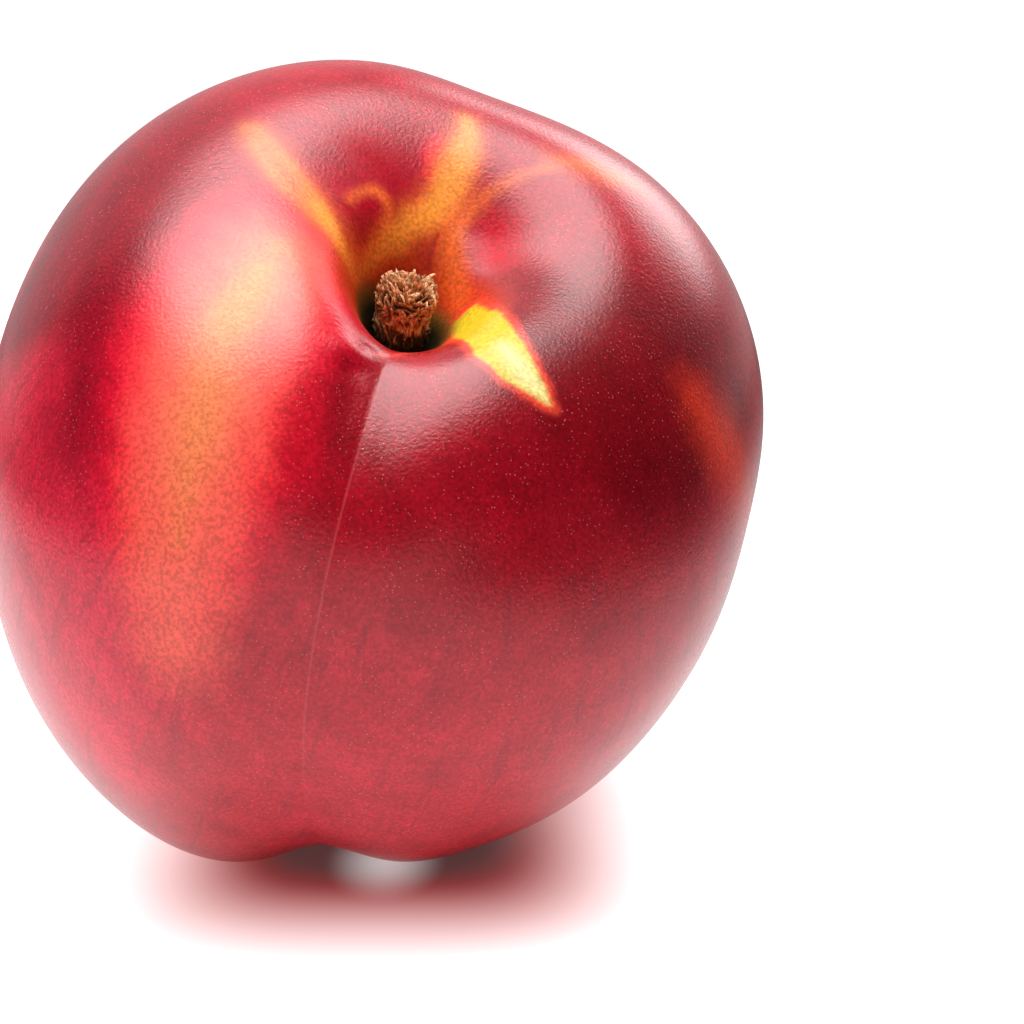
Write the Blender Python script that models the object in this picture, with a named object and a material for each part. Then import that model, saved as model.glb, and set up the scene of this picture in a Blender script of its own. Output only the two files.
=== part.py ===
"""A ripe nectarine that rests on small flats under its two lobes, with the torn stub of its stalk in the stem cavity.

Metres, +Z up. The front of the fruit, where the suture runs down, faces -Y.
"""

import math

import bmesh
import bpy
import numpy as np
from mathutils import Matrix, Vector

# Half widths of the fruit's form, from its centre to each side
LEFT = 0.0336
RIGHT = 0.0360
FRONT = 0.0403
BACK = 0.0354
UP = 0.0345
DOWN = 0.0392

# How square the form is (2 is an ellipsoid) and how much wider it gets toward the stem end
SQUARENESS = 2.15
TAPER = 0.085
TAPER_LENGTH = 0.034

# Gentle swells: polar angle from the stem, angle round the axis from the front, height, spread in degrees
SWELLS = (
    (60.0, 60.0, -0.0008, 30.0),
    (118.0, -52.0, -0.0006, 30.0),
    (135.0, 40.0, -0.0011, 30.0),
    (150.0, -100.0, 0.0002, 30.0),
    (55.0, -120.0, -0.0005, 34.0),
    (42.0, 163.0, -0.0006, 15.0),
    (32.0, 180.0, 0.0002, 14.0),
    (114.0, 34.0, -0.0007, 13.0),
    (125.0, -8.0, 0.0004, 12.0),
    (77.0, 88.0, -0.0004, 14.0),
)

# Path of the suture round the axis, in degrees: one number for each power of the height step
SUTURE_PATH = (5.1, 15.0, 9.1, 2.0)

# Valley of the suture: depth near the stem, at the waist and near the blossom end, and its half widths
VALLEY_TOP = 0.0022
VALLEY_WAIST = 0.0005
VALLEY_LOW = 0.0036
VALLEY_WIDTH = 0.0052
VALLEY_WIDENING = 0.0018

# Faint valley down the back from the stem
BACK_VALLEY = 0.0008
BACK_VALLEY_WIDTH = 0.0080

# Stem cavity: a funnel whose walls are wider and fuller toward the front and the left
FUNNEL_DEPTH = 0.0084
FUNNEL_CENTRE = (0.0040, 0.0035)
FUNNEL_WIDTH = 0.0121
FUNNEL_WIDER_FRONT = 0.0029
FUNNEL_WIDER_LEFT = 0.0054
FUNNEL_POWER = 1.48
FUNNEL_FULLER_FRONT = 0.35
FUNNEL_FULLER_LEFT = 0.40
FUNNEL_ROUNDING = 0.0014

# Steep pit round the stalk, and the low lip in front of it
PIT_DEPTH = 0.0090
PIT_CENTRE = (-0.0003, -0.0049)
PIT_HALF_WIDTH = 0.0050
PIT_HALF_LENGTH = 0.0060
PIT_POWER = 2.4
LIP_DEPTH = 0.0014
LIP_CENTRE = (0.0, -0.0105)
LIP_WIDTH = 0.0050
LIP_LENGTH = 0.0045

# Shallow dimple at the blossom end
DIMPLE_DEPTH = 0.0010
DIMPLE_WIDTH = 0.0040

# Width over which a valley fades out where it passes the axis
FADE_WIDTH = 0.0020

# How the fruit lies: its stem end tips forward and toward +X
TILT = math.radians(32.6)
LEAN = math.radians(18.2)
FLAT_CUT = 0.0009

# Mesh density of the fruit
COLUMNS = 72
ROWS = 52
COLUMN_CROWDING = 0.42
ROW_CROWDING = 0.42

# Stalk stub and its socket in the pit
STUB_RADIUS = 0.0026
STUB_LENGTH = 0.0070
STUB_BASE = (0.0, -0.0035, 0.0176)
STUB_LEAN = math.radians(-6.0)
STUB_COLUMNS = 30
STUB_ROWS = 30
TORN_HEIGHT = 0.0007
GAP = 0.0003


def clear_scene():
    """Remove every object that is in the scene at the start."""
    for obj in list(bpy.data.objects):
        bpy.data.objects.remove(obj, do_unlink=True)


def new_collection(name):
    """Make a collection in the scene."""
    collection = bpy.data.collections.new(name)
    bpy.context.scene.collection.children.link(collection)
    return collection


def new_material(name, color, roughness):
    """Make a plain Principled material."""
    material = bpy.data.materials.new(name)
    material.use_nodes = True
    shader = material.node_tree.nodes["Principled BSDF"]
    shader.inputs["Base Color"].default_value = (*color, 1.0)
    shader.inputs["Roughness"].default_value = roughness
    return material


def fade(value):
    """Smooth step from 0 to 1 as a length passes zero."""
    return 1.0 / (1.0 + np.exp(-value / FADE_WIDTH))


def bell(value, centre, width):
    """Smooth bump of height one."""
    return np.exp(-(((value - centre) / width) ** 2))


def suture_angle(polar):
    """Angle of the suture round the axis at a polar angle from the stem."""
    step = (polar - math.pi / 2) / (math.pi / 3)
    return np.radians(sum(number * step**power for power, number in enumerate(SUTURE_PATH)))


def half_width(direction, low, high):
    """The form's half width on the side that a direction points to."""
    return np.where(direction < 0, low, high)


def fruit_surface(polar, around):
    """Points of the skin in the fruit's own frame, with the stem toward +Z and the front toward -Y."""
    dx = np.sin(polar) * np.sin(around)
    dy = -np.sin(polar) * np.cos(around)
    dz = np.cos(polar)
    total = np.abs(dx / half_width(dx, LEFT, RIGHT)) ** SQUARENESS
    total += np.abs(dy / half_width(dy, FRONT, BACK)) ** SQUARENESS
    total += np.abs(dz / half_width(dz, DOWN, UP)) ** SQUARENESS
    reach = total ** (-1.0 / SQUARENESS)
    for swell_polar, swell_around, height, spread in SWELLS:
        polar0 = math.radians(swell_polar)
        cosine = np.cos(polar) * math.cos(polar0)
        cosine += np.sin(polar) * math.sin(polar0) * np.cos(around - math.radians(swell_around))
        away = np.degrees(np.arccos(np.clip(cosine, -1.0, 1.0)))
        reach = reach + height * bell(away, 0.0, spread)

    # Wider toward the stem end
    widen = 1.0 + TAPER * reach * dz / TAPER_LENGTH
    x = reach * dx * widen
    y = reach * dy * widen
    z = reach * dz

    # Valley of the suture down the front
    degrees = np.degrees(polar)
    radius = np.hypot(x, y)
    turn = around - suture_angle(polar)
    depth = VALLEY_TOP * bell(degrees, 30.0, 22.0)
    depth += VALLEY_WAIST * bell(degrees, 90.0, 45.0)
    depth += VALLEY_LOW * bell(degrees, 134.0, 28.0)
    width = VALLEY_WIDTH + VALLEY_WIDENING * np.clip((degrees - 90.0) / 50.0, 0.0, 1.0)
    groove = depth * bell(radius * np.sin(turn), 0.0, width) * fade(radius * np.cos(turn))

    # Faint valley down the back
    ridge = BACK_VALLEY * bell(degrees, 55.0, 30.0)
    groove += ridge * bell(radius * np.sin(around), 0.0, BACK_VALLEY_WIDTH) * fade(-radius * np.cos(around))
    shrink = 1.0 - groove / np.sqrt(x * x + y * y + z * z)
    x = x * shrink
    y = y * shrink
    z = z * shrink

    # Stem cavity and blossom dimple
    aside = x - FUNNEL_CENTRE[0]
    behind = y - FUNNEL_CENTRE[1]
    away = np.hypot(aside, behind)
    frontness = -behind / (away + FADE_WIDTH)
    leftness = -aside / (away + FADE_WIDTH)
    funnel_width = FUNNEL_WIDTH + FUNNEL_WIDER_FRONT * frontness + FUNNEL_WIDER_LEFT * leftness
    power = FUNNEL_POWER + FUNNEL_FULLER_FRONT * frontness + FUNNEL_FULLER_LEFT * leftness
    away = np.hypot(away, FUNNEL_ROUNDING) - FUNNEL_ROUNDING
    dip = FUNNEL_DEPTH * np.exp(-((away / funnel_width) ** power))
    pit = np.hypot((x - PIT_CENTRE[0]) / PIT_HALF_WIDTH, (y - PIT_CENTRE[1]) / PIT_HALF_LENGTH)
    dip += PIT_DEPTH * np.exp(-(pit**PIT_POWER))
    dip += LIP_DEPTH * bell(x, LIP_CENTRE[0], LIP_WIDTH) * bell(y, LIP_CENTRE[1], LIP_LENGTH)
    rise = DIMPLE_DEPTH * bell(np.hypot(x, y), 0.0, DIMPLE_WIDTH)
    z = z - np.where(polar < math.pi / 2, dip, -rise)
    return np.stack([x, y, z], axis=-1)


def sphere_angles(mesh):
    """Polar angle from +Z and angle round the axis from -Y of a unit sphere's points."""
    points = np.empty(len(mesh.vertices) * 3)
    mesh.vertices.foreach_get("co", points)
    points = points.reshape(-1, 3)
    polar = np.arccos(np.clip(points[:, 2], -1.0, 1.0))
    around = np.where(np.sin(polar) > 1e-4, np.arctan2(points[:, 0], -points[:, 1]), 0.0)
    return polar, around


def sphere_object(name, columns, rows, collection, material):
    """A unit UV sphere as a smooth shaded object."""
    mesh = bpy.data.meshes.new(name)
    sphere = bmesh.new()
    bmesh.ops.create_uvsphere(sphere, u_segments=columns, v_segments=rows, radius=1.0)
    sphere.to_mesh(mesh)
    sphere.free()
    mesh.polygons.foreach_set("use_smooth", [True] * len(mesh.polygons))
    mesh.materials.append(material)
    obj = bpy.data.objects.new(name, mesh)
    collection.objects.link(obj)
    return obj


def move_points(obj, points, frame):
    """Put an object's points at new places, turned and shifted by a frame."""
    turned = points @ np.array(frame.to_3x3()).T + np.array(frame.translation)
    obj.data.vertices.foreach_set("co", turned.astype(np.float32).ravel())
    obj.data.update()
    return turned


def add_cut(obj, name, cutter):
    """Subtract a cutter from an object."""
    cut = obj.modifiers.new(name, "BOOLEAN")
    cut.operation = "DIFFERENCE"
    cut.solver = "EXACT"
    cut.object = cutter


def make_fruit(collection, material):
    """The whole fruit, and the frame that carries its own axes to where it lies."""
    fruit = sphere_object("nectarine_fruit", COLUMNS, ROWS, collection, material)
    polar, around = sphere_angles(fruit.data)

    # Rows crowd toward the stem, columns toward the suture, and one column follows the suture
    polar = polar - ROW_CROWDING * np.sin(polar)
    around = around - COLUMN_CROWDING * np.sin(around)
    around = around + suture_angle(polar) * np.cos(around / 2.0) ** 2
    points = fruit_surface(polar, around)

    # Lay the fruit down, centre its box over the origin and sink it by the depth of the flats
    turn = Matrix.Rotation(LEAN, 4, "Y") @ Matrix.Rotation(TILT, 4, "X")
    laid = points @ np.array(turn.to_3x3()).T
    low = laid.min(axis=0)
    high = laid.max(axis=0)
    shift = Vector((-(low[0] + high[0]) / 2.0, -(low[1] + high[1]) / 2.0, -low[2] - FLAT_CUT))
    frame = Matrix.Translation(shift) @ turn
    move_points(fruit, points, frame)
    return fruit, frame


def stub_radius(height, around):
    """Radius of the stalk stub at a height from 0 to 1, with its lengthwise ridges."""
    profile = np.interp(height, (0.0, 0.25, 0.55, 0.85, 1.0), (0.96, 0.98, 0.90, 0.97, 0.93))
    ridges = 0.035 * np.cos(5.0 * around + 1.0 + 1.5 * height)
    ridges += 0.030 * np.cos(9.0 * around + 2.4 - 2.0 * height)
    return STUB_RADIUS * profile * (1.0 + ridges * (0.3 + 0.7 * height))


def torn_top(x, y):
    """Height of the torn end above or below its mean."""
    u = x / STUB_RADIUS
    v = y / STUB_RADIUS
    bumps = 0.5 * np.sin(2.3 * u + 0.8) + 0.4 * np.sin(3.1 * v - 1.1) + 0.3 * np.cos(4.2 * u - 3.3 * v)
    hollow = -0.7 * bell(u, 0.45, 0.4) * bell(v, 0.35, 0.4)
    return TORN_HEIGHT * (bumps + hollow)


def make_stub(collection, material, frame):
    """The woody stalk stub, with a torn top."""
    stub = sphere_object("stem_stub", STUB_COLUMNS, STUB_ROWS, collection, material)
    polar, around = sphere_angles(stub.data)
    step = polar / math.pi
    share = np.interp(step, (0.0, 0.28, 0.34, 0.80, 0.85, 1.0), (0.0, 0.86, 1.0, 1.0, 0.88, 0.0))
    height = np.interp(step, (0.0, 0.28, 0.34, 0.80, 0.85, 1.0), (1.0, 1.0, 0.95, 0.06, 0.0, 0.0))
    radius = share * stub_radius(height, around)
    x = radius * np.sin(around)
    y = -radius * np.cos(around)
    torn = np.clip((height - 0.6) / 0.4, 0.0, 1.0) ** 2
    z = STUB_LENGTH * height + torn * torn_top(x, y)
    move_points(stub, np.stack([x, y, z], axis=-1), frame)
    return stub


def make_socket_cutter(collection, frame):
    """Round cutter for the stub's socket, a little wider and deeper than the stub."""
    mesh = bpy.data.meshes.new("socket_cutter")
    radius = STUB_RADIUS * 1.05 + GAP
    length = STUB_LENGTH + 0.004
    middle = Matrix.Translation((0.0, 0.0, length / 2.0 - GAP))
    cone = bmesh.new()
    bmesh.ops.create_cone(
        cone,
        cap_ends=True,
        segments=32,
        radius1=radius,
        radius2=radius,
        depth=length,
        matrix=frame @ middle,
    )
    cone.to_mesh(mesh)
    cone.free()
    cutter = bpy.data.objects.new("socket_cutter", mesh)
    cutter.hide_render = True
    cutter.display_type = "WIRE"
    collection.objects.link(cutter)
    return cutter


def make_floor_cutter(collection):
    """Box cutter whose top is the plane that the fruit rests on."""
    mesh = bpy.data.meshes.new("floor_cutter")
    box = bmesh.new()
    size = Matrix.Diagonal((0.12, 0.12, 0.02, 1.0))
    bmesh.ops.create_cube(box, size=1.0, matrix=Matrix.Translation((0.0, 0.0, -0.01)) @ size)
    box.to_mesh(mesh)
    box.free()
    cutter = bpy.data.objects.new("floor_cutter", mesh)
    cutter.hide_render = True
    cutter.display_type = "WIRE"
    collection.objects.link(cutter)
    return cutter


def main():
    """Build both pieces and their cutters."""
    clear_scene()
    pieces = new_collection("nectarine")
    cutters = new_collection("cutters")
    skin = new_material("nectarine_skin", (0.42, 0.02, 0.04), 0.35)
    wood = new_material("stem_wood", (0.16, 0.08, 0.04), 0.85)
    fruit, frame = make_fruit(pieces, skin)
    stub_frame = frame @ Matrix.Translation(STUB_BASE) @ Matrix.Rotation(STUB_LEAN, 4, "Y")
    make_stub(pieces, wood, stub_frame)
    add_cut(fruit, "socket", make_socket_cutter(cutters, stub_frame))
    add_cut(fruit, "flats", make_floor_cutter(cutters))


main()
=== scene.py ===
"""A ripe nectarine on a white surface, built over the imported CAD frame."""

import math

import bmesh
import bpy
import numpy as np
from mathutils import Euler, Matrix, Vector, noise


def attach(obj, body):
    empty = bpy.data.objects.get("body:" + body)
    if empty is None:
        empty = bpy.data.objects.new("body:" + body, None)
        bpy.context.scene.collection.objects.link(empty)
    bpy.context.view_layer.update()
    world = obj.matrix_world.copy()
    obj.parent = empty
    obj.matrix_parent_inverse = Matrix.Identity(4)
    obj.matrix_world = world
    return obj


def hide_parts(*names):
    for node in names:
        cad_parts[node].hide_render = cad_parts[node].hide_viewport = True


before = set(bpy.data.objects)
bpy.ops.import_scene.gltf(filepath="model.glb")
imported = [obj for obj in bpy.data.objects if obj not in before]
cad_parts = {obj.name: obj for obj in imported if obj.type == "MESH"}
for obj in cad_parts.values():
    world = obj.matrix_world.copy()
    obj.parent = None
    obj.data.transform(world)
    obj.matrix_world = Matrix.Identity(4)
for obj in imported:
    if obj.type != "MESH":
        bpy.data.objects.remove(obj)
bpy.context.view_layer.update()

# Half widths of the fruit's form, from its centre to each side
LEFT = 0.0336
RIGHT = 0.0360
FRONT = 0.0403
BACK = 0.0354
UP = 0.0345
DOWN = 0.0392

# How square the form is (2 is an ellipsoid) and how much wider it gets toward the stem end
SQUARENESS = 2.15
TAPER = 0.085
TAPER_LENGTH = 0.034

# Gentle swells: polar angle from the stem, angle round the axis from the front, height, spread in degrees
SWELLS = (
    (60.0, 60.0, -0.0008, 30.0),
    (118.0, -52.0, -0.0006, 30.0),
    (135.0, 40.0, -0.0011, 30.0),
    (150.0, -100.0, 0.0002, 30.0),
    (55.0, -120.0, -0.0005, 34.0),
    (42.0, 163.0, -0.0006, 15.0),
    (32.0, 180.0, 0.0002, 14.0),
    (114.0, 34.0, -0.0007, 13.0),
    (125.0, -8.0, 0.0004, 12.0),
    (77.0, 88.0, -0.0004, 14.0),
)

# Path of the suture round the axis, in degrees: one number for each power of the height step
SUTURE_PATH = (5.1, 15.0, 9.1, 2.0)

# Valley of the suture, and the fine crease along its bottom
VALLEY_TOP = 0.0022
VALLEY_WAIST = 0.0005
VALLEY_LOW = 0.0036
VALLEY_WIDTH = 0.0052
VALLEY_WIDENING = 0.0018
CREASE_DEPTH = 0.00014
CREASE_WIDTH = 0.00055

# Faint valley down the back from the stem
BACK_VALLEY = 0.0008
BACK_VALLEY_WIDTH = 0.0080

# Stem cavity: a funnel whose walls are wider and fuller toward the front and the left
FUNNEL_DEPTH = 0.0084
FUNNEL_CENTRE = (0.0040, 0.0035)
FUNNEL_WIDTH = 0.0121
FUNNEL_WIDER_FRONT = 0.0029
FUNNEL_WIDER_LEFT = 0.0054
FUNNEL_POWER = 1.48
FUNNEL_FULLER_FRONT = 0.35
FUNNEL_FULLER_LEFT = 0.40
FUNNEL_ROUNDING = 0.0014

# Steep pit round the stalk, and the low lip in front of it
PIT_DEPTH = 0.0090
PIT_CENTRE = (-0.0003, -0.0049)
PIT_HALF_WIDTH = 0.0050
PIT_HALF_LENGTH = 0.0060
PIT_POWER = 2.4
LIP_DEPTH = 0.0014
LIP_CENTRE = (0.0, -0.0105)
LIP_WIDTH = 0.0050
LIP_LENGTH = 0.0045

# Shallow dimple at the blossom end
DIMPLE_DEPTH = 0.0010
DIMPLE_WIDTH = 0.0040

# Small wrinkles where the suture meets the cavity, given in the same way as the swells
WRINKLES = ((28.5, -13.0, 0.00028, 2.4), (26.2, -9.5, -0.00020, 1.3), (31.5, -10.0, -0.00015, 1.5))

# Brown scar at the blossom end, in metres from the axis, and its colour
SCAR_RADIUS = 0.0016
SCAR_BROWN = (0.070, 0.030, 0.012)

# Width over which a valley fades out where it passes the axis
FADE_WIDTH = 0.0020

# How the fruit lies
TILT = math.radians(32.6)
LEAN = math.radians(18.2)
FLAT_CUT = 0.0009

# Mesh density of the skin
COLUMNS = 400
ROWS = 246
COLUMN_CROWDING = 0.60
ROW_CROWDING = 0.55

# Stalk stub
STUB_RADIUS = 0.0026
STUB_LENGTH = 0.0070
STUB_BASE = (0.0, -0.0035, 0.0176)
STUB_LEAN = math.radians(-6.0)
STUB_COLUMNS = 300
STUB_ROWS = 240
FIBRE_RELIEF = 0.00016
TORN_RELIEF = 0.00050
CURL_COUNT = 11
CURL_RADIUS = 0.00010
CURL_LENGTH = 0.0021

# Camera: distance from the fruit's centre, height angle, and where the centre falls in the square picture
PICTURE = 1024
FOCAL_PIXELS = 3160.0
DISTANCE = 0.290
HEIGHT_ANGLE = math.radians(13.0)
CENTRE_ACROSS = 358.6
CENTRE_DOWN = 456.4

# Skin colours, in linear light
CRIMSON = (0.33, 0.003, 0.012)
DEEP_CRIMSON = (0.17, 0.002, 0.006)
LEFT_RED = (0.25, 0.002, 0.012)
VIVID_RED = (0.95, 0.010, 0.036)
LOWER_RED = (0.47, 0.014, 0.028)
TOP_RED = (0.36, 0.004, 0.016)
# Salmon brightened with painted sheen, standing in for light from the left front
SALMON_AND_SHEEN = (0.97, 0.13, 0.085)
ORANGE = (0.85, 0.15, 0.024)
STREAK_TIP = (0.72, 0.080, 0.020)
YELLOW_ORANGE = (0.90, 0.28, 0.036)
BAND_YELLOW = (0.86, 0.215, 0.080)
PALE_BAND = (0.56, 0.25, 0.065)
WEDGE_HALO = (0.80, 0.06, 0.03)
WEDGE_YELLOW = (0.58, 0.43, 0.018)
WEDGE_PALE = (0.80, 0.66, 0.27)
DARK_BLOB = (0.36, 0.010, 0.014)
LOWER_LEFT = (0.72, 0.016, 0.050)
SUTURE_CRIMSON = (0.25, 0.002, 0.008)
PATCH_RED = (0.50, 0.004, 0.016)
CAVITY_RED = (0.36, 0.003, 0.012)
CAVITY_ORANGE = (0.56, 0.050, 0.011)
CAVITY_OLIVE = (0.13, 0.075, 0.012)
# Painted shade deep in the pit round the stalk
PIT_SHADE = (0.022, 0.020, 0.008)
# Warm red of painted bounce light on the right rim
RIM_LIGHT_RED = (0.80, 0.040, 0.012)
PALE_SPECK = (0.90, 0.30, 0.30, 1.0)
DARK_SPECK = (0.52, 0.070, 0.018, 1.0)
HAIRLINE = (0.62, 0.085, 0.095, 1.0)
STREAK_SHADE = (0.20, 0.012, 0.026, 1.0)

# Stalk colours: torn fibres from brown to pale, painted shade in the grooves between them and at the foot, and the
# olive foot
FIBRE_GROOVE_SHADE = (0.110, 0.035, 0.012)
FIBRE_BROWN = (0.580, 0.215, 0.075)
FIBRE_PALE = (0.860, 0.540, 0.300)
FOOT_OLIVE = (0.060, 0.052, 0.016)
FOOT_SHADE = (0.012, 0.012, 0.006)

# Markings as lines over the skin: polar angle, angle round the axis, half width in millimetres
BAND_PATH = (
    (24.3, -51.5, 0.8),
    (31.2, -41.0, 1.6),
    (37.5, -36.0, 1.9),
    (43.6, -30.4, 2.0),
    (48.2, -27.0, 1.9),
    (52.8, -24.5, 1.4),
    (57.0, -22.0, 0.6),
    (61.6, -20.0, -0.4),
)
BAND_TAIL = ((58.0, -22.0, 3.5), (66.0, -18.5, 4.0), (74.0, -15.0, 3.0))
LEFT_STREAK = (
    (29.7, -108.0, 0.5),
    (25.3, -101.5, 0.9),
    (21.0, -92.2, 1.1),
    (16.8, -81.4, 1.1),
    (14.0, -67.9, 0.9),
    (12.2, -56.3, 0.8),
    (10.0, -50.6, 0.6),
    (8.2, -46.4, 0.4),
)
BACK_STREAK = (
    (24.6, 180.0, 0.4),
    (20.5, 178.7, 0.9),
    (16.4, 178.4, 1.3),
    (11.9, 179.5, 1.3),
    (7.7, -168.7, 1.2),
    (5.3, -128.7, 1.1),
    (6.4, -83.2, 0.9),
    (8.9, -58.9, 0.5),
)
BACK_BRANCH = (
    (20.5, 179.5, 0.4),
    (14.1, 174.8, 0.7),
    (9.2, 167.4, 0.9),
    (5.5, 151.0, 1.1),
    (4.3, 110.2, 1.3),
    (6.2, 71.1, 1.0),
)
THIN_ARC = ((22.4, 146.7, 0.1), (18.3, 152.3, 0.35), (13.7, 157.9, 0.5), (10.0, 159.3, 0.5), (6.6, 153.5, 0.4))
BLOB_ARC = ((12.1, -98.5, 0.25), (11.7, -112.7, 0.3), (10.8, -124.2, 0.35), (8.6, -126.5, 0.35), (6.8, -115.4, 0.3))
DARK_SPOT = ((9.6, -93.0, 0.9), (9.0, -81.7, 0.8))
BACK_SHADE = ((17.0, -132.7, 1.2), (14.2, -137.5, 1.8), (11.0, -145.6, 1.5), (8.9, -148.7, 0.8))
BRIGHT_PATCH = ((11.5, 137.2, 2.0), (9.8, 115.4, 2.0))
VIVID_STRIP = ((19.2, -171.5, 0.5), (16.5, -170.1, 0.8), (13.7, -167.8, 0.5))
FOLD_LINE = ((5.7, 173.9, 0.12), (3.6, 171.0, 0.2), (2.1, 163.8, 0.2))
SHOULDER = ((25.0, 147.2, 0.6), (28.7, 138.8, 1.2), (33.3, 131.8, 0.7))
REDDER_TOP = ((42.7, -107.5, 2.0), (37.1, -105.5, 2.0), (32.9, -105.8, 1.2))
# Painted warm bounce light along the right rim
RIM_LIGHT_PATCH = ((43.0, 75.0, 1.2), (49.0, 76.0, 2.4), (57.0, 78.5, 2.8), (72.0, 84.0, 2.2))
RED_PATCH = ((36.5, -15.5, 1.4), (41.0, -13.0, 2.0), (46.5, -11.0, 1.6))
SUTURE_SHADE = ((32.0, -11.0, 0.6), (36.5, -8.5, 1.3), (42.0, -5.0, 1.6))
LIP_EDGE = ((26.0, -6.0, 0.16), (24.5, -1.0, 0.2), (21.8, 4.1, 0.22), (19.0, 12.0, 0.22), (17.0, 22.0, 0.2))
WEDGE_LINE = ((23.0, 32.0, 0.3), (29.0, 34.5, 1.2), (32.6, 36.6, 0.7))
WEDGE_CORNERS = (
    (8.3, 47.0),
    (9.2, 59.4),
    (13.1, 48.8),
    (21.8, 39.6),
    (28.0, 37.9),
    (33.6, 37.6),
    (33.2, 36.2),
    (29.3, 28.1),
    (24.3, 22.3),
    (17.9, 22.9),
)

# Gloss, specks and grain of the skin
SKIN_ROUGHNESS = 0.25
CAVITY_ROUGHNESS = 0.38
SKIN_GLOSS = 0.38
CAVITY_GLOSS = 0.06
PALE_SPECK_SPACING = 0.00040
DARK_SPECK_SPACING = 0.00046
GRAIN_SPACING = 0.00035
BUMP_SPACING = 0.00030
BUMP_HEIGHT = 0.00006

# White surface: how much light it gives back, how glossy it is, its glow, and how far out it stays bright
FLOOR_WHITE = 0.30
FLOOR_GLOSS = 0.42
FLOOR_GLOW = 0.90
FLOOR_GLOW_SEEN = 1.10
FLOOR_NEAR = 0.16
FLOOR_FAR = 0.40
FLOOR_BRIGHT_CENTRE = (-0.05, -0.25, 0.0)
FLOOR_BRIGHT_SHAPE = (0.7, 1.6, 1.0)

# Painted shadow under the fruit, cut out of the surface's glow: centre and proportions of its rounded shape, and where
# red and the other colours fade in; red stays on closer in, as painted red bounce light from the fruit
SHADE_CENTRE = (0.001, 0.006, 0.0)
SHADE_SHAPE = (1.12, 1.8, 1.0)
SHADE_RED = (0.0080, 0.0225)
SHADE_OTHER = (0.0105, 0.0245)
SHADE_LOWEST = (0.060, 0.026)
# Painted light on the surface under the gap between the two lower lobes
GAP_LIGHT_CENTRE = (0.0008, -0.0075, 0.0)
GAP_LIGHT_SHAPE = (0.0058, 0.0120, 1.0)
GAP_LIGHT = 0.36

# Studio: the softbox overhead, with its offset from the fruit, half sizes and where its soft edge starts
OVERHEAD_HEIGHT = 0.75
OVERHEAD_OFFSET = (-0.07, 0.045)
OVERHEAD_HALF = (0.56, 0.485)
OVERHEAD_TURN = math.radians(12.0)
OVERHEAD_EDGE = 0.42
OVERHEAD_RADIANCE = 8.5
BACKDROP_GLOW = 0.55
ROOM = 0.02

# Panels around: azimuth from the front toward the right, elevation, distance, half sizes, soft edge, radiance
PANELS = (
    ("right_behind", 148.0, 30.0, 0.55, 0.21, 0.20, 0.45, 5.0),
    ("front_fill", 0.0, 0.0, 0.85, 0.95, 0.36, 0.20, 1.2),
)


def fade(value):
    """Smooth step from 0 to 1 as a length passes zero."""
    return 1.0 / (1.0 + np.exp(-value / FADE_WIDTH))


def bell(value, centre, width):
    """Smooth bump of height one."""
    return np.exp(-(((value - centre) / width) ** 2))


def suture_angle(polar):
    """Angle of the suture round the axis at a polar angle from the stem."""
    step = (polar - math.pi / 2) / (math.pi / 3)
    return np.radians(sum(number * step**power for power, number in enumerate(SUTURE_PATH)))


def half_width(direction, low, high):
    """The form's half width on the side that a direction points to."""
    return np.where(direction < 0, low, high)


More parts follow.
